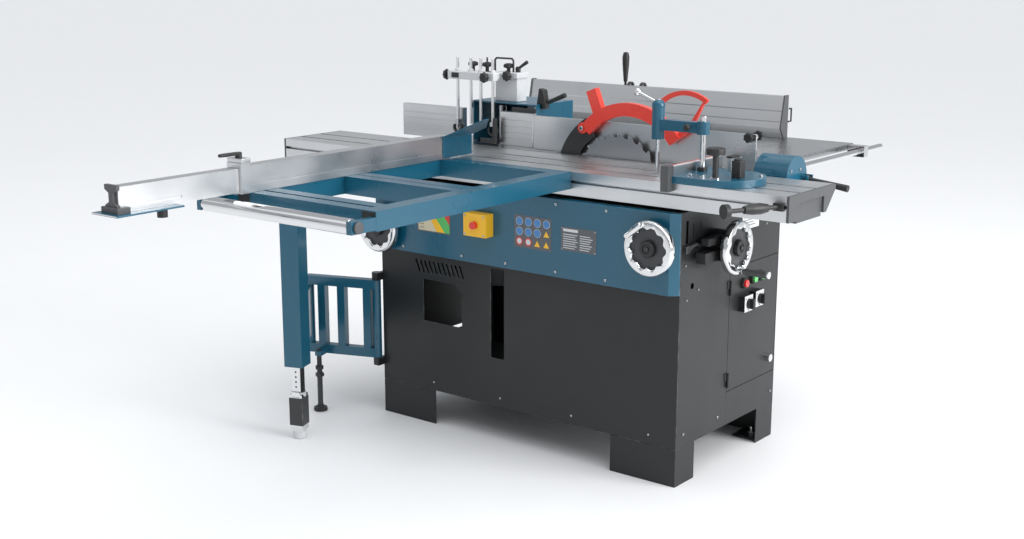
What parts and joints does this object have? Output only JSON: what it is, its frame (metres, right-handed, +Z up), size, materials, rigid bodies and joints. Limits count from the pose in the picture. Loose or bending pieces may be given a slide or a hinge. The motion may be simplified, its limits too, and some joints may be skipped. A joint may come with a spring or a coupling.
{
  "type": "panel saw",
  "caption": "Sliding table panel saw combined with a spindle moulder and a surface planer, with an outrigger, crosscut fence, swing arm and handwheels.",
  "frame": {"origin": "middle of the four floor bolts, at floor level", "axes": "+X along the saw cut towards the operator's end, -Y towards the sliding carriage and outrigger, +Z up"},
  "size_m": [1.878, 2.4574, 1.147],
  "materials": {
    "charcoal_paint": "satin powder coat",
    "blue_paint": "semi-gloss powder coat",
    "aluminium_profile": "fine drawn lines",
    "cast_iron": "ground and polished",
    "machined_steel": "machined",
    "bright_chrome": "polished",
    "black_plastic": "matt",
    "black_steel": "satin",
    "grey_enamel": "satin",
    "signal_red": "gloss",
    "guard_red": "semi-gloss",
    "signal_green": "gloss",
    "signal_yellow": "gloss",
    "belt_rubber": "matt"
  },
  "bodies": {
    "machine": {"cabinet_front": "charcoal_paint", "cabinet_shell": "charcoal_paint", "cabinet_feet": "charcoal_paint", "table_bearers": "charcoal_paint", "front_panel": "blue_paint", "estop_box": "signal_yellow", "guide_rail": "cast_iron", "saw_table": "cast_iron", "planer_tables": "cast_iron", "planer_body": "cast_iron", "rise_lock": "black_plastic", "fence_bar": "bright_chrome", "spindle_hood": "blue_paint", "hood_column": "aluminium_profile", "hood_fences": "aluminium_profile"},
    "door": {"service_door": "charcoal_paint"},
    "stop": {"stop_button": "signal_red"},
    "start_saw": {"start_button_saw": "signal_green"},
    "start_spindle": {"start_button_spindle": "signal_green"},
    "saw_switch": {"switch_saw": "black_plastic"},
    "spindle_switch": {"switch_spindle": "black_plastic"},
    "latch": {"door_latch": "bright_chrome"},
    "estop": {"estop_button": "signal_red"},
    "sliding_table": {"carriage": "aluminium_profile", "carriage_caps": "charcoal_paint", "push_handle": "black_plastic"},
    "outrigger": {"outrigger_sides": "blue_paint", "outrigger_members": "blue_paint"},
    "roller": {"roller": "bright_chrome"},
    "fence": {"crosscut_fence": "aluminium_profile", "fence_guard": "blue_paint"},
    "fence_lever": {"stop_lever": "black_plastic"},
    "extension": {"fence_extension": "aluminium_profile"},
    "gauge": {"gauge_base": "blue_paint", "gauge_fence": "aluminium_profile"},
    "clamp": {"clamp_arm": "blue_paint"},
    "clamp_screw": {"clamp_screw": "bright_chrome"},
    "saw_unit": {"arbor_block": "cast_iron", "riving_knife": "black_steel", "saw_motor": "grey_enamel", "drive_belt": "belt_rubber"},
    "blade": {"saw_arbor": "machined_steel", "saw_blade": "machined_steel"},
    "motor_pulley": {"motor_pulley": "machined_steel"},
    "guard": {"blade_guard": "guard_red"},
    "quill": {"spindle_quill": "machined_steel"},
    "spindle": {"spindle_shaft": "machined_steel"},
    "cutter": {"planer_cutter": "machined_steel"},
    "saw_wheel": {"wheel_saw": "bright_chrome"},
    "spindle_wheel": {"wheel_spindle": "bright_chrome"},
    "tilt_wheel": {"wheel_end": "bright_chrome"},
    "rip_fence": {"rip_fence": "aluminium_profile", "rip_head": "blue_paint"},
    "rip_lock": {"rip_lever": "black_plastic"},
    "planer_fence": {"tall_fence": "aluminium_profile"},
    "planer_lever": {"tall_lever": "black_plastic"},
    "arm": {"swing_arm": "blue_paint"},
    "arm_foot": {"arm_foot": "black_plastic"},
    "link": {"swing_link": "blue_paint"},
    "leg": {"support_leg": "bright_chrome"}
  },
  "joints": [
    {"name": "carriage_slide", "type": "slide", "parent": "machine", "child": "sliding_table", "axis": [1, 0, 0], "range_m": [-0.9, 0.9]},
    {"name": "outrigger_slide", "type": "slide", "parent": "sliding_table", "child": "outrigger", "axis": [1, 0, 0], "range_m": [-0.3, 0.15]},
    {"name": "roller_spin", "type": "hinge", "parent": "outrigger", "child": "roller", "pos_m": [0, -1.1594, 0.84], "axis": [1, 0, 0], "continuous": true},
    {"name": "fence_swivel", "type": "hinge", "parent": "outrigger", "child": "fence", "pos_m": [-0.2775, -0.32, 0.87], "axis": [0, 0, 1], "range_deg": [-45, 45]},
    {"name": "fence_lever_turn", "type": "hinge", "parent": "fence", "child": "fence_lever", "pos_m": [-0.2775, -1.1134, 0.95], "axis": [0, 0, 1], "range_deg": [-60, 60]},
    {"name": "extension_slide", "type": "slide", "parent": "fence", "child": "extension", "axis": [0, -1, 0], "range_m": [-0.1, 0.3]},
    {"name": "gauge_swivel", "type": "hinge", "parent": "sliding_table", "child": "gauge", "pos_m": [0.686, -0.215, 0.87], "axis": [0, 0, 1], "range_deg": [0, 45]},
    {"name": "clamp_swivel", "type": "hinge", "parent": "gauge", "child": "clamp", "pos_m": [0.546, -0.165, 1], "axis": [0, 0, 1], "range_deg": [-30, 45]},
    {"name": "clamp_screw_slide", "type": "slide", "parent": "clamp", "child": "clamp_screw", "axis": [0, 0, 1], "range_m": [0, 0.04]},
    {"name": "saw_rise", "type": "slide", "parent": "machine", "child": "saw_unit", "axis": [0, 0, 1], "range_m": [-0.05, 0]},
    {"name": "blade_spin", "type": "hinge", "parent": "saw_unit", "child": "blade", "pos_m": [0.15, 0.008, 0.7895], "axis": [0, 1, 0], "continuous": true},
    {"name": "motor_spin", "type": "hinge", "parent": "saw_unit", "child": "motor_pulley", "pos_m": [0.15, 0.17, 0.5535], "axis": [0, 1, 0], "continuous": true},
    {"name": "guard_lift", "type": "hinge", "parent": "saw_unit", "child": "guard", "pos_m": [0.025, 0.008, 0.9545], "axis": [0, -1, 0], "range_deg": [0, 50]},
    {"name": "spindle_rise", "type": "slide", "parent": "machine", "child": "quill", "axis": [0, 0, 1], "range_m": [-0.04, 0]},
    {"name": "spindle_spin", "type": "hinge", "parent": "quill", "child": "spindle", "pos_m": [-0.41, 0.15, 0.9], "axis": [0, 0, 1], "continuous": true},
    {"name": "cutter_spin", "type": "hinge", "parent": "machine", "child": "cutter", "pos_m": [0, 0.54, 0.834], "axis": [0, 1, 0], "continuous": true},
    {"name": "saw_wheel_turn", "type": "hinge", "parent": "machine", "child": "saw_wheel", "pos_m": [0.491, 0, 0.693], "axis": [0, -1, 0], "range_deg": [-1800, 0]},
    {"name": "spindle_wheel_turn", "type": "hinge", "parent": "machine", "child": "spindle_wheel", "pos_m": [-0.521, 0, 0.63], "axis": [0, -1, 0], "range_deg": [-1800, 0]},
    {"name": "tilt_wheel_turn", "type": "hinge", "parent": "machine", "child": "tilt_wheel", "pos_m": [0.559, -0.095, 0.673], "axis": [1, 0, 0], "range_deg": [-720, 720]},
    {"name": "door_swing", "type": "hinge", "parent": "machine", "child": "door", "pos_m": [0.5634, -0.0095, 0.4], "axis": [0, 0, 1], "range_deg": [-100, 0]},
    {"name": "latch_turn", "type": "hinge", "parent": "door", "child": "latch", "pos_m": [0.559, 0.235, 0.265], "axis": [1, 0, 0], "range_deg": [0, 90]},
    {"name": "stop_press", "type": "slide", "parent": "door", "child": "stop", "axis": [-1, 0, 0], "range_m": [0, 0.004], "stiffness_N_per_m": 400, "springref_m": -0.002},
    {"name": "start_saw_press", "type": "slide", "parent": "door", "child": "start_saw", "axis": [-1, 0, 0], "range_m": [0, 0.004], "stiffness_N_per_m": 400, "springref_m": -0.002},
    {"name": "start_spindle_press", "type": "slide", "parent": "door", "child": "start_spindle", "axis": [-1, 0, 0], "range_m": [0, 0.004], "stiffness_N_per_m": 400, "springref_m": -0.002},
    {"name": "saw_switch_turn", "type": "hinge", "parent": "door", "child": "saw_switch", "pos_m": [0.559, 0.069, 0.472], "axis": [1, 0, 0], "range_deg": [-45, 45]},
    {"name": "spindle_switch_turn", "type": "hinge", "parent": "door", "child": "spindle_switch", "pos_m": [0.559, 0.136, 0.475], "axis": [1, 0, 0], "range_deg": [-45, 45]},
    {"name": "estop_press", "type": "slide", "parent": "machine", "child": "estop", "axis": [0, 1, 0], "range_m": [0, 0.004], "stiffness_N_per_m": 800, "springref_m": -0.002},
    {"name": "rip_slide", "type": "slide", "parent": "machine", "child": "rip_fence", "axis": [0, 1, 0], "range_m": [0, 0.45]},
    {"name": "rip_lock_turn", "type": "hinge", "parent": "rip_fence", "child": "rip_lock", "pos_m": [0.724, 0.118, 0.85], "axis": [0, -1, 0], "range_deg": [0, 60]},
    {"name": "planer_fence_slide", "type": "slide", "parent": "machine", "child": "planer_fence", "axis": [0, 1, 0], "range_m": [-0.1, 0]},
    {"name": "planer_lever_turn", "type": "hinge", "parent": "planer_fence", "child": "planer_lever", "pos_m": [-0.335, 0.777, 0.99], "axis": [1, 0, 0], "range_deg": [-70, 0]},
    {"name": "arm_swing", "type": "hinge", "parent": "machine", "child": "arm", "pos_m": [-0.575, -0.3, 0.3], "axis": [0, 0, 1], "range_deg": [-15, 50]},
    {"name": "arm_foot_screw", "type": "slide", "parent": "arm", "child": "arm_foot", "axis": [0, 0, 1], "range_m": [0, 0.03]},
    {"name": "link_swing", "type": "hinge", "parent": "arm", "child": "link", "pos_m": [-0.80081, -0.3813, 0.3], "axis": [0, 0, 1], "range_deg": [-40, 25]},
    {"name": "leg_slide", "type": "slide", "parent": "link", "child": "leg", "axis": [0, 0, 1], "range_m": [0, 0.08]}
  ],
  "couplings": [
    {"joint": "motor_spin", "follows": "blade_spin", "ratio": 0.75},
    {"joint": "saw_wheel_turn", "follows": "saw_rise", "rad_per_m": 628.32},
    {"joint": "spindle_wheel_turn", "follows": "spindle_rise", "rad_per_m": 785.4}
  ]
}
